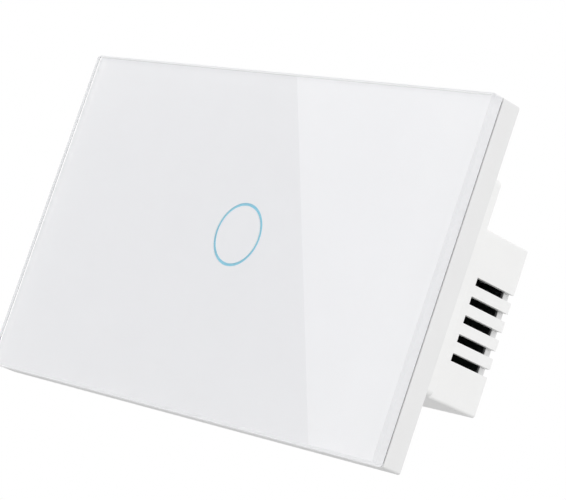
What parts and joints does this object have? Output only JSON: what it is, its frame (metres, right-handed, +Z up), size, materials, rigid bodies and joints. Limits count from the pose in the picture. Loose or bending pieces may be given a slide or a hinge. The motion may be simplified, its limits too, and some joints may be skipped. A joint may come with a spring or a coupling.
{
  "type": "smart light switch",
  "caption": "Flat glass touch wall switch with a thin blue ring, a plain white frame, a wall plate, and a narrow vented case behind with a relay, a small supply and screw terminals.",
  "frame": {"origin": "middle of the wall plane, half way between the two fixing screws, at the rear face of the mounting plate", "axes": "+X right along the panel's long side, +Y into the wall, +Z up"},
  "size_m": [0.12, 0.0474, 0.072],
  "materials": {
    "clear_glass": "flat polished glass with ground edges",
    "white_enamel": "white enamel fired on the back of the glass",
    "dark_adhesive": "dark foam adhesive",
    "white_plastic": "white moulded plastic",
    "pale_plastic": "pale grey moulded plastic",
    "blue_light": "clear light guide, lit blue",
    "lamp_resin": "small lamp bodies",
    "green_board": "glass-fibre circuit board, green mask",
    "dark_board": "circuit board, dark blue mask",
    "black_plastic": "black moulded plastic",
    "ceramic": "tan ceramic chips",
    "tin_plate": "bright tin",
    "spring_steel": "spring steel",
    "screw_steel": "zinc-plated steel",
    "brass": "plain brass",
    "copper_wire": "enamelled copper wire",
    "relay_iron": "plated soft iron",
    "ferrite": "dull ferrite",
    "terminal_plastic": "green moulded plastic",
    "relay_plastic": "blue moulded plastic",
    "bobbin_plastic": "natural nylon",
    "yellow_tape": "yellow film tape",
    "can_sleeve": "dark shrink sleeve",
    "film_case": "yellow moulded case",
    "blue_resin": "dipped blue resin",
    "green_resin": "dipped grey-green coat",
    "dark_sheet": "dark insulating sheet"
  },
  "bodies": {
    "base": {"panel_clips": "spring_steel", "mounting_plate": "white_plastic", "case_screws": "screw_steel", "touch_board": "green_board", "touch_spring": "spring_steel", "ring_light_guide": "blue_light", "ring_lights": "lamp_resin", "touch_chip": "black_plastic", "touch_board_parts": "ceramic", "radio_board": "dark_board", "radio_shield": "tin_plate", "header_strip": "black_plastic", "header_pins": "brass", "header_socket": "black_plastic", "rear_box": "white_plastic", "rear_cover": "pale_plastic", "cover_screws": "screw_steel", "insulation_sheet": "dark_sheet", "power_board": "green_board", "board_screws": "screw_steel", "solder_joints": "tin_plate", "terminal_block": "terminal_plastic", "terminal_bars": "brass", "relay_base": "relay_plastic", "relay_cover": "relay_plastic", "relay_legs": "tin_plate", "relay_bobbin": "bobbin_plastic", "relay_coil": "copper_wire", "relay_core": "relay_iron", "relay_yoke": "relay_iron", "relay_fixed_contact": "brass", "transformer_core": "ferrite", "transformer_bobbin": "black_plastic", "transformer_winding": "yellow_tape", "bulk_capacitors": "can_sleeve", "output_capacitor": "can_sleeve", "film_capacitor": "film_case", "varistor": "blue_resin", "fuse_resistor": "green_resin", "bridge_rectifier": "black_plastic", "converter_chip": "black_plastic"},
    "front_panel": {"glass_panel": "clear_glass", "print_mask": "white_enamel", "glass_adhesive": "dark_adhesive", "panel_frame": "white_plastic"},
    "screw_1": {"terminal_screw_1": "screw_steel"},
    "screw_2": {"terminal_screw_2": "screw_steel"},
    "screw_3": {"terminal_screw_3": "screw_steel"},
    "cage_1": {"terminal_cage_1": "brass"},
    "cage_2": {"terminal_cage_2": "brass"},
    "cage_3": {"terminal_cage_3": "brass"},
    "armature": {"relay_armature": "relay_iron", "relay_leaf": "brass"}
  },
  "joints": [
    {"name": "panel_pull", "type": "slide", "parent": "base", "child": "front_panel", "axis": [0, -1, 0], "range_m": [0, 0.025], "deforming": ["panel_clips"]},
    {"name": "screw_1_turn", "type": "hinge", "parent": "base", "child": "screw_1", "pos_m": [-0.01, 0.034, -0.01], "axis": [0, -1, 0], "range_deg": [0, 1656]},
    {"name": "screw_2_turn", "type": "hinge", "parent": "base", "child": "screw_2", "pos_m": [0, 0.034, -0.01], "axis": [0, -1, 0], "range_deg": [0, 1656]},
    {"name": "screw_3_turn", "type": "hinge", "parent": "base", "child": "screw_3", "pos_m": [0.01, 0.034, -0.01], "axis": [0, -1, 0], "range_deg": [0, 1656]},
    {"name": "cage_1_lift", "type": "slide", "parent": "base", "child": "cage_1", "axis": [0, 1, 0], "range_m": [0, 0.0023]},
    {"name": "cage_2_lift", "type": "slide", "parent": "base", "child": "cage_2", "axis": [0, 1, 0], "range_m": [0, 0.0023]},
    {"name": "cage_3_lift", "type": "slide", "parent": "base", "child": "cage_3", "axis": [0, 1, 0], "range_m": [0, 0.0023]},
    {"name": "armature_tilt", "type": "hinge", "parent": "base", "child": "armature", "pos_m": [-0.031, 0.0102, 0.0004], "axis": [0, 0, 1], "range_deg": [0, 3], "stiffness_Nm_per_rad": 0.01}
  ],
  "couplings": [
    {"joint": "screw_1_turn", "follows": "cage_1_lift", "rad_per_m": 12566},
    {"joint": "screw_2_turn", "follows": "cage_2_lift", "rad_per_m": 12566},
    {"joint": "screw_3_turn", "follows": "cage_3_lift", "rad_per_m": 12566}
  ]
}
